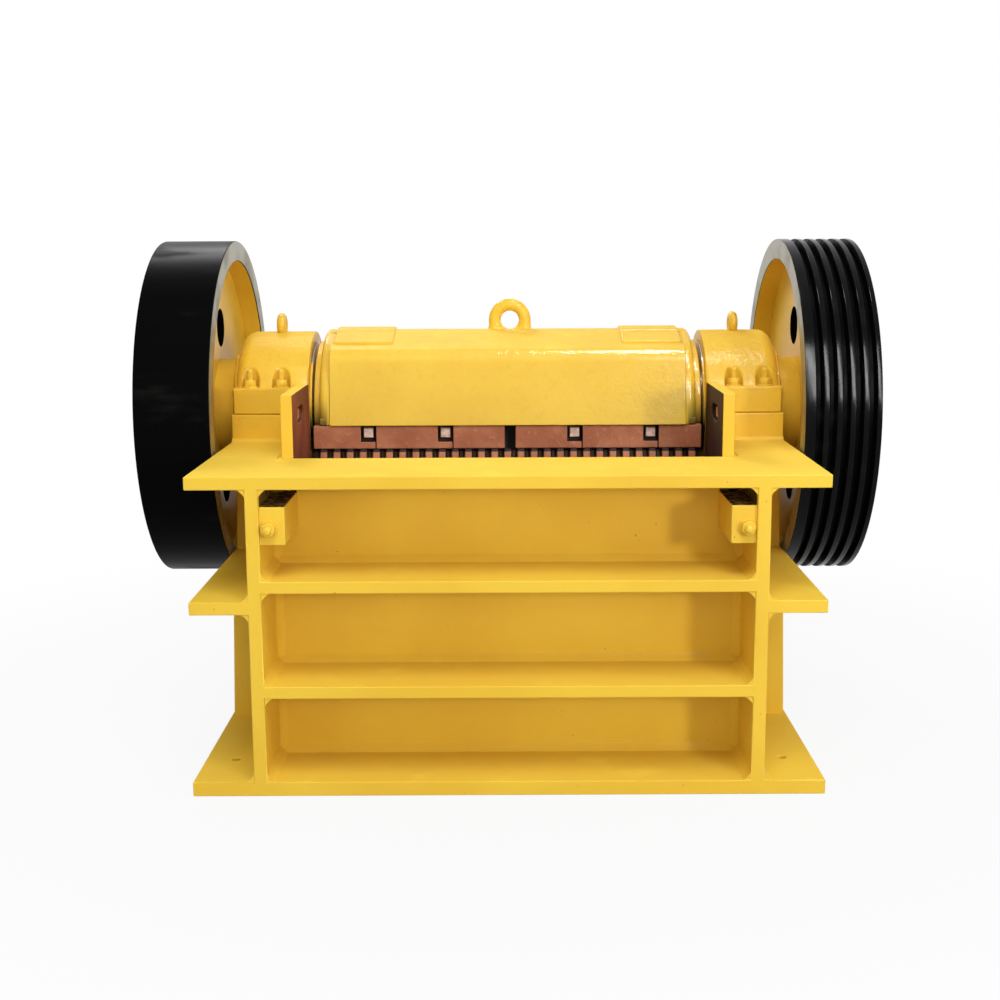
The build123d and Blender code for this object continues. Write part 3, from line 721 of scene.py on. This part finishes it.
def wheel_faces(low, high, land):
    """Black on the rim, black painted shade in the web's holes, bare on the rim's sides, yellow elsewhere.
    """
    def rule(face):
        reaches = [math.hypot(v.co.y - SHAFT.y, v.co.z - SHAFT.z) for v in face.verts]
        reach = sum(reaches) / len(reaches)
        centre = face.calc_center_median()
        at_side = min(abs(centre.x - low.x), abs(centre.x - high.x)) < 0.003
        in_hole = abs(face.normal.x) < 0.5 and abs(reach - HOLE_RING) < 0.070
        # Inside the bore, the walls of the web's holes get black as painted shade.
        if reach < BORE_RADIUS - 0.002:
            return 0 if in_hole else 2
        if reach < BORE_RADIUS + 0.003 and not at_side:
            return 2
        if reach > WHEEL_RADIUS - 0.0008:
            return land
        return 1 if at_side and abs(face.normal.x) > 0.5 else 0
    return rule


# Both linings are painted shade: the left one darker primer, the right one near black.
cheeks = [soft_copy(side + "cheek_plate", [enamel, lining], 0.003, cheek_faces)
          for side, lining in (("left_", shade_primer), ("right_", shade_black))]
WHEEL_FINISHES = [gloss_black, turned_steel, casting, worn_land]
wheels = [soft_copy(node, WHEEL_FINISHES, edge, wheel_faces(*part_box(node), land))
          for node, edge, land in (("flywheel", 0.004, 0), ("belt_pulley", 0.002, 3))]
print(len(cheeks), "cheeks and", len(wheels), "wheels of radius", round(WHEEL_RADIUS, 3))

# %% [markdown]
# ## Bare nodes
# The shaft, the bearing covers and what works behind the jaw have the right shape already, so
# they take soft edges and a finish. A shaft is turned between centres, and the conical hole that
# the lathe needs stays in each end. It is too small for the solid model, so it is pressed in here.

# %% Shaft, covers and forgings
RING_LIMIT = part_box("right_bearing_seat")[0].x + 0.001
CENTRE_RADIUS = 0.017


def cover_faces(face):
    """Covers are painted with the frame; only the top of the inner ring is rubbed bare."""
    centre = face.calc_center_median()
    return 0 if abs(centre.x) < RING_LIMIT and centre.z > SHAFT.z + 0.150 else 1


def centre_holes(form):
    """The lathe's centre hole in each end of the shaft."""
    ends = []
    for face in form.faces:
        along = face.calc_center_median().x
        at_end = min(abs(along - shaft_low.x), abs(along - shaft_high.x)) < 1e-4
        if at_end and abs(face.normal.x) > 0.99:
            ends.append(face)
    for face in ends:
        radius = max((corner.co - face.calc_center_median()).length for corner in face.verts)
        bmesh.ops.inset_region(form, faces=[face], thickness=radius - CENTRE_RADIUS, depth=0.0)
        bmesh.ops.inset_region(form, faces=[face], thickness=0.012, depth=-0.016)
    print("centre holes:", len(ends))


soft_copy("eccentric_shaft", [turned_steel], 0.002, None, centre_holes)
# The covers take the jaw's enamel, and with it black painted shade low at the jaw's ends.
for node in ("left_bearing_covers", "right_bearing_covers"):
    soft_copy(node, [turned_steel, jaw_paint], 0.0015, cover_faces)
for node in ("toggle_plate", "tension_rods"):
    soft_copy(node, [forging], 0.002)
print("bare nodes dressed")

# %% [markdown]
# ## Weld beads
# The frame is welded, and every inside corner has a fillet weld under the paint. A bevel modifier
# would make it too even, so a bead is built ring by ring: a slightly hollow triangle whose reach
# rises and falls with each step of the welder's hand.

# %% A weld bead
WELD_LEG = 0.021
GUSSET_LEG = 0.014
SEAT_LEG = 0.010
WELD_STEP = 0.007
WELD_SINK = 0.0006


def ringed(form, rings, closed=False):
    """Joins rings of vertices into a skin, with caps unless the path is closed."""
    pairs = list(zip(rings, rings[1:])) + ([(rings[-1], rings[0])] if closed else [])
    for lower, upper in pairs:
        for index in range(len(lower)):
            after = (index + 1) % len(lower)
            form.faces.new((lower[index], lower[after], upper[after], upper[index]))
    if not closed:
        form.faces.new(list(reversed(rings[0])))
        form.faces.new(rings[-1])


def bead(form, start, end, first, second, leg=WELD_LEG):
    """A fillet weld from start to end, reaching along the two plates that first and second follow."""
    start, end, first, second = (Vector(value) for value in (start, end, first, second))
    along = end - start
    steps = max(3, round(along.length / WELD_STEP))
    rings = []
    for index in range(steps + 1):
        spot = start + along * (index / steps)
        lift = 0.02 if index % 2 else -0.02
        reach = leg * (1 + lift + 0.08 * noise.noise(spot * 23.0))
        ring = [form.verts.new(spot - (first + second) * WELD_SINK)]
        for share in (0.0, 0.33, 0.67, 1.0):
            swell = -0.09 * math.sin(math.pi * share)
            ring.append(form.verts.new(spot + first * (reach * (1 - share + swell) - WELD_SINK * share)
                                       + second * (reach * (share + swell) - WELD_SINK * (1 - share))))
        rings.append(ring)
    ringed(form, rings)


print("a bead has", WELD_LEG * 1000, "mm legs")

# %% [markdown]
# ## Welds of the frame
# Each bay has a bead along every inside corner of its wall, its ribs and its side plates. The
# beads could be listed one by one, but front and rear bays are alike, so one function takes the
# levels from the ribs themselves.

# %% Welds of the frame's front
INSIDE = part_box("right_side_plate")[0].x
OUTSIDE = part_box("right_side_plate")[1].x
BASE_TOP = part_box("right_base_plate")[1].z
FLANGE_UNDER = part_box("front_top_flange")[0].z
FRAME_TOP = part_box("front_top_flange")[1].z
WALL_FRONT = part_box("front_wall")[0].y
UP, DOWN = Vector((0, 0, 1)), Vector((0, 0, -1))
FORWARD, BACKWARD = Vector((0, -1, 0)), Vector((0, 1, 0))


def bay_welds(form, wall, open_edge, outward, ribs, floor, ceiling):
    """Every inside corner of the bays between a wall, the side plates and the ribs."""
    levels = [(floor, UP)]
    for rib in ribs:
        low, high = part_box(rib)
        levels += [(low.z, DOWN), (high.z, UP)]
    levels.append((ceiling, DOWN))
    for level, side in levels:
        bead(form, (-INSIDE, wall, level), (INSIDE, wall, level), outward, side)
        for sign in (-1, 1):
            corner = sign * INSIDE
            bead(form, (corner, open_edge, level), (corner, wall, level), (-sign, 0, 0), side)
    for (low, _), (high, _) in zip(levels[::2], levels[1::2]):
        for sign in (-1, 1):
            bead(form, (sign * INSIDE, wall, low), (sign * INSIDE, wall, high), (-sign, 0, 0), outward)


front_welds = bmesh.new()
bay_welds(front_welds, WALL_FRONT, FRONT + 0.003, FORWARD, ("front_lower_rib", "front_upper_rib"),
          BASE_TOP, FLANGE_UNDER)
evened(front_welds)
placed("front_welds", front_welds, "frame", [enamel])
print("front welds done")

# %% [markdown]
# ## Welds of the back and the sides
# The rear bays repeat the front. On the sides, beads run along the flanges, the gussets and the
# foot of each bearing seat. Gussets share a node, so its separate solids are found first by
# walking along their edges.

# %% Welds of the frame's back and sides
REAR_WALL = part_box("rear_wall")[1].y
REAR_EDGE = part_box("rear_lower_rib")[1].y
rear_welds = bmesh.new()
bay_welds(rear_welds, REAR_WALL, REAR_EDGE - 0.003, BACKWARD, ("rear_lower_rib",), BASE_TOP,
          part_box("rear_top_rib")[0].z)
evened(rear_welds)
placed("rear_welds", rear_welds, "frame", [enamel])


def solids_of(node):
    """The corners of the box of each separate solid in a CAD node."""
    form = bmesh.new()
    form.from_mesh(frame["nodes"][node].data)
    bmesh.ops.remove_doubles(form, verts=form.verts, dist=1e-5)
    waiting = set(form.verts)
    boxes = []
    while waiting:
        reached = [waiting.pop()]
        for vertex in reached:
            for edge in vertex.link_edges:
                other = edge.other_vert(vertex)
                if other in waiting:
                    waiting.remove(other)
                    reached.append(other)
        boxes.append([Vector(limit(v.co[axis] for v in reached) for axis in range(3))
                      for limit in (min, max)])
    form.free()
    return boxes


side_welds = bmesh.new()
for sign, side in ((-1, "left_"), (1, "right_")):
    out = Vector((sign, 0, 0))
    face = sign * OUTSIDE
    mid_low, mid_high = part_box(side + "mid_flange")
    top_low, top_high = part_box(side + "top_flange")
    plate_low, plate_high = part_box(side + "side_plate")
    for level, rise, low, high in ((BASE_TOP, UP, plate_low, plate_high),
                                   (mid_high.z, UP, mid_low, mid_high),
                                   (mid_low.z, DOWN, mid_low, mid_high),
                                   (FLANGE_UNDER, DOWN, top_low, top_high)):
        bead(side_welds, (face, low.y + 0.003, level), (face, high.y - 0.003, level), out, rise)
    for low, high in solids_of(side + "gussets"):
        for edge, reach in ((low.y, FORWARD), (high.y, BACKWARD)):
            bead(side_welds, (face, edge, low.z), (face, edge, high.z), out, reach, GUSSET_LEG)
    seat_low, seat_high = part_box(side + "bearing_seat")
    for edge, reach in ((seat_low.y, FORWARD), (seat_high.y, BACKWARD)):
        ends = sorted((seat_low.x, seat_high.x))
        bead(side_welds, (ends[0], edge, FRAME_TOP), (ends[1], edge, FRAME_TOP), reach, UP, SEAT_LEG)
evened(side_welds)
placed("side_welds", side_welds, "frame", [enamel])
print("rear and side welds done")

# %% [markdown]
# ## Studs, nuts and bolts
# Fasteners are forged and turned pieces. A ready-made cylinder has no chamfer and no thread, so
# each one is a profile spun with four, six or many sides.

# %% Spun pieces
def facing(spot, direction):
    """A place at spot whose own Z looks along direction."""
    return Matrix.Translation(spot) @ Vector(direction).to_track_quat("Z", "Y").to_matrix().to_4x4()


def spun(form, profile, sides, place, twist=0.0):
    """Spins (radius, height) pairs; a radius of 0 closes the skin."""
    rings = []
    for radius, height in profile:
        count = sides if radius else 1
        turns = [2 * math.pi * index / sides + twist for index in range(count)]
        rings.append([form.verts.new(place @ Vector((radius * math.cos(a), radius * math.sin(a), height)))
                      for a in turns])
    for lower, upper in zip(rings, rings[1:]):
        for index in range(sides):
            after = index + 1
            ring = [lower[index % len(lower)], lower[after % len(lower)],
                    upper[after % len(upper)], upper[index % len(upper)]]
            form.faces.new(list(dict.fromkeys(ring)))


def washer(form, place, radius, thick):
    spun(form, [(0, 0), (radius, 0), (radius, thick * 0.7), (radius * 0.97, thick), (0, thick)], 32, place)


def nut(form, place, radius, height, sides=6, twist=0.0):
    spun(form, [(0, 0), (radius * 0.93, 0), (radius, height * 0.1), (radius, height * 0.85),
                (radius * 0.88, height), (0, height)], sides, place, twist)


def thread(form, place, radius, length, pitch=0.0030):
    """A threaded end with a chamfered tip."""
    profile = [(0, 0)]
    steps = int(length / pitch)
    for index in range(steps):
        profile += [(radius, index * pitch), (radius * 0.90, (index + 0.5) * pitch)]
    profile += [(radius * 0.90, length), (radius * 0.75, length + pitch * 0.6), (0, length + pitch * 0.6)]
    spun(form, profile, 20, place)


print("fastener tools ready")

# %% [markdown]
# ## Studs on the bearing caps
# Four studs hold each cap on its seat and stand in pockets of the cap. They are painted over with
# the machine, so the thread shows only as faint rings.

# %% Studs on the bearing caps
STUD_RADIUS = 0.0095
NUT_RADIUS = 0.0190
NUT_HEIGHT = 0.020
LEDGE = 1.030
STUD_ROWS = (0.689, 0.783)
for sign, side in ((-1, "left_"), (1, "right_")):
    seat_low, seat_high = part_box(side + "bearing_seat")
    form = bmesh.new()
    for along in STUD_ROWS:
        for across in (seat_low.y + 0.026, seat_high.y - 0.026):
            spot = Vector((sign * along, across, LEDGE))
            washer(form, facing(spot, UP), 0.0225, 0.004)
            nut(form, facing(spot + UP * 0.004, UP), NUT_RADIUS, NUT_HEIGHT, 6, along * 9)
            thread(form, facing(spot + UP * (0.004 + NUT_HEIGHT), UP), STUD_RADIUS, 0.028)
    evened(form)
    placed(side + "cap_studs", form, "frame", [enamel])
print("studs on both caps")

# %% [markdown]
# ## Bolts of the corner blocks
# Each block in the upper corners of the front carries one bolt with a washer and a nut. It stands
# a little nearer to the side plate than the block's middle.

# %% Bolts of the corner blocks
BLOCK_BOLT = (0.624, 0.728)
form = bmesh.new()
for sign, side in ((-1, "left_"), (1, "right_")):
    spot = Vector((sign * BLOCK_BOLT[0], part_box(side + "bolt_block")[0].y, BLOCK_BOLT[1]))
    washer(form, facing(spot, FORWARD), 0.0235, 0.004)
    nut(form, facing(spot + FORWARD * 0.004, FORWARD), 0.0205, 0.019, 6, 0.3)
    thread(form, facing(spot + FORWARD * 0.023, FORWARD), 0.0115, 0.010)
evened(form)
placed("corner_block_bolts", form, "frame", [enamel])
print("corner block bolts done")

# %% [markdown]
# ## Screws of the bearing covers
# The outer cover of a bearing is held by a ring of small screws. The wheels hide most of it, and
# it shows from the side through the holes in their webs.

# %% Screws of the bearing covers
COVER_CIRCLE = 0.170
COVER_SCREWS = 8
for sign, side in ((-1, "left_"), (1, "right_")):
    low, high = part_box(side + "bearing_covers")
    outer = low.x if sign < 0 else high.x
    form = bmesh.new()
    for index in range(COVER_SCREWS):
        a = 2 * math.pi * (index + 0.5) / COVER_SCREWS
        spot = Vector((outer, SHAFT.y + COVER_CIRCLE * math.cos(a), SHAFT.z + COVER_CIRCLE * math.sin(a)))
        washer(form, facing(spot, (sign, 0, 0)), 0.0125, 0.002)
        nut(form, facing(spot + Vector((sign * 0.002, 0, 0)), (sign, 0, 0)), 0.0105, 0.007, 6, a)
    evened(form)
    placed(side + "cover_screws", form, "frame", [casting])
print("cover screws done at", round(abs(outer), 4))

# %% [markdown]
# ## Bolts of the clamp bars and cheeks
# Clamp bars hold the moving plate with square-headed bolts that sit in notches. Square heads jam
# against the notch, so no spanner is needed from the front.

# %% Square-headed bolts
SQUARE_RADIUS = 0.0210
NOTCHES = (-0.4235, -0.1895, 0.2035, 0.4345)
form = bmesh.new()
bar_low, bar_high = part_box("left_clamp_bars")
for along in NOTCHES:
    spot = Vector((along, bar_low.y + 0.032, bar_high.z - 0.022))
    nut(form, facing(spot, FORWARD), SQUARE_RADIUS, 0.024, 4, math.pi / 4)
evened(form)
placed("clamp_bar_bolts", form, "jaw", [bolt_steel])

form = bmesh.new()
for sign in (-1, 1):
    for depth, level in CHEEK_POCKETS:
        spot = Vector((sign * (CHAMBER_HALF + 0.0225), FRONT + depth, level))
        nut(form, facing(spot, (-sign, 0, 0)), 0.0215, 0.017, 4, math.pi / 4)
evened(form)
placed("cheek_bolts", form, "frame", [primer])
print("square bolts done")

# %% [markdown]
# ## Bars bent to eyes and springs
# A lifting eye is a round bar bent to a loop, and a spring is a bar wound to a coil. A curve with
# a bevel would do, but a swept mesh lets the ends and the seat sit exactly where they should.

# %% A swept bar
def swept(form, path, radius, sides=16, closed=False):
    """A round bar along a path."""
    count = len(path)
    rings = []
    across = None
    for index, spot in enumerate(path):
        before = path[index - 1] if index or closed else path[0]
        after = path[(index + 1) % count] if index < count - 1 or closed else path[-1]
        ahead = (after - before).normalized()
        across = ahead.orthogonal() if across is None else across - ahead * across.dot(ahead)
        across.normalize()
        beside = ahead.cross(across)
        rings.append([form.verts.new(spot + radius * (across * math.cos(a) + beside * math.sin(a)))
                      for a in (2 * math.pi * k / sides for k in range(sides))])
    ringed(form, rings, closed)


def arc(centre, radius, first, second, begin, finish_angle, steps):
    """Points of an arc in the plane of two unit vectors."""
    return [centre + radius * (Vector(first) * math.cos(a) + Vector(second) * math.sin(a))
            for a in (begin + (finish_angle - begin) * k / steps for k in range(steps + 1))]


print("swept bars ready")

# %% [markdown]
# ## Lifting eyes
# The jaw hangs from a large eye with two short legs, and each bearing cap from a small ring on a
# stem. Both loops are closed, so a hook can be put in from either side.

# %% Lifting eyes
EYE_BAR = 0.019
EYE_BEND = 0.0475
eye_low, eye_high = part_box("jaw_lifting_eye")
eye_middle = (eye_low + eye_high) / 2
eye_middle.z = eye_high.z - EYE_BEND - EYE_BAR
form = bmesh.new()
swept(form, arc(eye_middle, EYE_BEND, (1, 0, 0), UP, 0.0, 2 * math.pi * 47 / 48, 47), EYE_BAR, 20, True)
for sign in (-1, 1):
    foot = eye_middle + Vector((sign * EYE_BEND, 0, eye_low.z - eye_middle.z))
    rise = eye_middle.z - foot.z
    leg = EYE_BAR * 0.995
    spun(form, [(0, 0), (0.0225, 0), (0.0205, 0.004), (leg, 0.010), (leg, rise), (0, rise)], 20,
         facing(foot, UP))
evened(form)
placed("jaw_lifting_loop", form, "jaw", [casting], ("jaw_lifting_eye",))

RING_PLACE = 0.713
RING_BAR = 0.0138
RING_BEND = 0.024
STEM = 0.0165
caps_low, caps_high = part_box("cap_lifting_eyes")
form = bmesh.new()
for sign in (-1, 1):
    middle = Vector((sign * RING_PLACE, SHAFT.y, caps_high.z - RING_BEND - RING_BAR))
    swept(form, arc(middle, RING_BEND, BACKWARD, UP, 0.0, 2 * math.pi * 31 / 32, 31), RING_BAR, 16, True)
    base = Vector((middle.x, middle.y, caps_low.z))
    top = middle.z - RING_BEND - base.z
    spun(form, [(0, 0), (STEM, 0), (STEM, top), (0.012, top + 0.012), (0, top + 0.012)], 20,
         facing(base, UP))
evened(form)
placed("cap_lifting_rings", form, "frame", [casting], ("cap_lifting_eyes",))
print("lifting eyes done")

# %% [markdown]
# ## Springs of the tension rods
# Two rods keep the jaw on its toggle, and a coil spring on each lets it give. The solid model has
# plain sleeves there. A coil is the same swept bar along a helix.

# %% Springs of the tension rods
spring_low, spring_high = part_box("rod_springs")
SPRING_TURNS = 6.5
SPRING_BAR = 0.009
SPRING_RADIUS = 0.036
ROD_PLACE = (0.330, 0.150)
form = bmesh.new()
for sign in (-1, 1):
    steps = int(SPRING_TURNS * 28)
    first, last = spring_low.y + SPRING_BAR, spring_high.y - SPRING_BAR
    coil = []
    for index in range(steps + 1):
        share = index / steps
        a = 2 * math.pi * SPRING_TURNS * share
        coil.append(Vector((sign * ROD_PLACE[0] + SPRING_RADIUS * math.cos(a),
                            first + (last - first) * share,
                            ROD_PLACE[1] + SPRING_RADIUS * math.sin(a))))
    swept(form, coil, SPRING_BAR, 12)
evened(form)
placed("coil_springs", form, "frame", [forging], ("rod_springs",))
print("springs wound")
